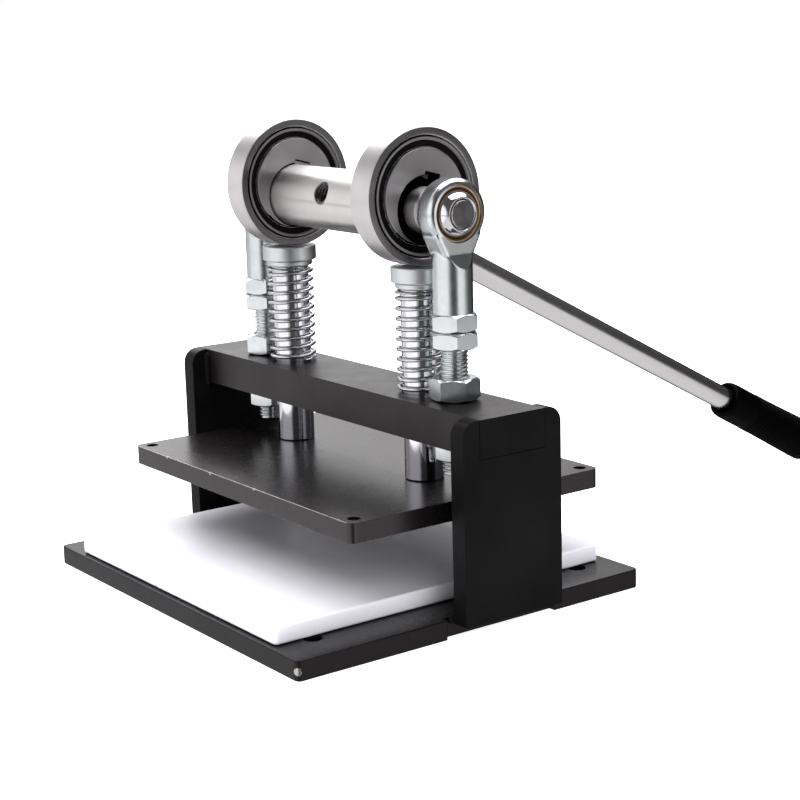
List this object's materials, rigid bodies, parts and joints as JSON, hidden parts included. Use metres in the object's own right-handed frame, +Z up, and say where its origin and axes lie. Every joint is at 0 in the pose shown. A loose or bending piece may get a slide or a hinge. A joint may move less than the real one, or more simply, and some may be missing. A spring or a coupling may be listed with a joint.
{
  "type": "tabletop lever press",
  "caption": "Manual tabletop press: a lever turns an eccentric shaft whose bearings push a sprung, guided press plate towards a loose cutting board on a welded black frame.",
  "frame": {"origin": "middle of the base plate's underside", "axes": "+Z up, +X along the shaft and crossbeam, +Y to the rear, where the lever hangs at rest"},
  "size_m": [0.2606, 0.4797, 0.2395],
  "materials": {
    "black_paint": "satin black powder coat",
    "zinc_plate": "bright zinc plate",
    "polished_chrome": "polished",
    "bearing_steel": "ground",
    "spring_steel": "drawn wire",
    "turned_steel": "turned, light oil",
    "brass_race": "satin",
    "seal_rubber": "matte",
    "grip_rubber": "ribbed, matte",
    "white_board": "satin white polyethylene"
  },
  "bodies": {
    "frame": {"base_plate": "black_paint", "upright_left": "black_paint", "upright_right": "black_paint", "crossbeam": "black_paint", "base_weld_left": "black_paint", "base_weld_right": "black_paint", "beam_weld_left": "black_paint", "beam_weld_right": "black_paint", "stud_left": "zinc_plate", "stud_right": "zinc_plate", "beam_nut_left": "zinc_plate", "beam_nut_right": "zinc_plate", "under_nut_left": "zinc_plate", "under_nut_right": "zinc_plate", "lock_nut_left": "zinc_plate", "lock_nut_right": "zinc_plate", "rod_end_left": "zinc_plate", "rod_end_right": "zinc_plate", "race_left": "brass_race", "race_right": "brass_race", "spring_left": "spring_steel", "spring_right": "spring_steel"},
    "board": {"cutting_board": "white_board"},
    "crank": {"eccentric_shaft": "turned_steel", "eccentric_hub_left": "turned_steel", "eccentric_hub_right": "turned_steel", "shaft_key_left": "turned_steel", "shaft_key_right": "turned_steel", "bearing_inner_ring_left": "bearing_steel", "bearing_inner_ring_right": "bearing_steel", "rod_end_ball_left": "polished_chrome", "rod_end_ball_right": "polished_chrome", "lever_bar": "polished_chrome", "lever_grip": "grip_rubber"},
    "bearing_left": {"bearing_outer_ring_left": "bearing_steel", "bearing_seal_left_inner": "seal_rubber", "bearing_seal_left_outer": "seal_rubber", "bearing_cage_left": "polished_chrome"},
    "bearing_right": {"bearing_outer_ring_right": "bearing_steel", "bearing_seal_right_inner": "seal_rubber", "bearing_seal_right_outer": "seal_rubber", "bearing_cage_right": "polished_chrome"},
    "press": {"press_plate": "black_paint", "guide_rod_left": "polished_chrome", "guide_rod_right": "polished_chrome", "spring_cap_left": "zinc_plate", "spring_cap_right": "zinc_plate", "plate_screw_left": "zinc_plate", "plate_screw_right": "zinc_plate"}
  },
  "joints": [
    {"name": "lever_turn", "type": "hinge", "parent": "frame", "child": "crank", "pos_m": [0, 0.014, 0.199], "axis": [1, 0, 0], "range_deg": [0, 150]},
    {"name": "press_slide", "type": "slide", "parent": "frame", "child": "press", "axis": [0, 0, 1], "range_m": [-0.0124, 0], "stiffness_N_per_m": 4000, "springref_m": 0.012, "deforming": ["spring_left", "spring_right"]},
    {"name": "board_slide", "type": "slide", "parent": "frame", "child": "board", "axis": [0, -1, 0], "range_m": [0, 0.09]},
    {"name": "bearing_left_spin", "type": "hinge", "parent": "crank", "child": "bearing_left", "pos_m": [-0.058, 0.014, 0.2055], "axis": [1, 0, 0], "continuous": true},
    {"name": "bearing_right_spin", "type": "hinge", "parent": "crank", "child": "bearing_right", "pos_m": [0.058, 0.014, 0.2055], "axis": [1, 0, 0], "continuous": true}
  ],
  "couplings": [
    {"joint": "press_slide", "follows": "lever_turn", "m_per_rad": -0.00471}
  ]
}
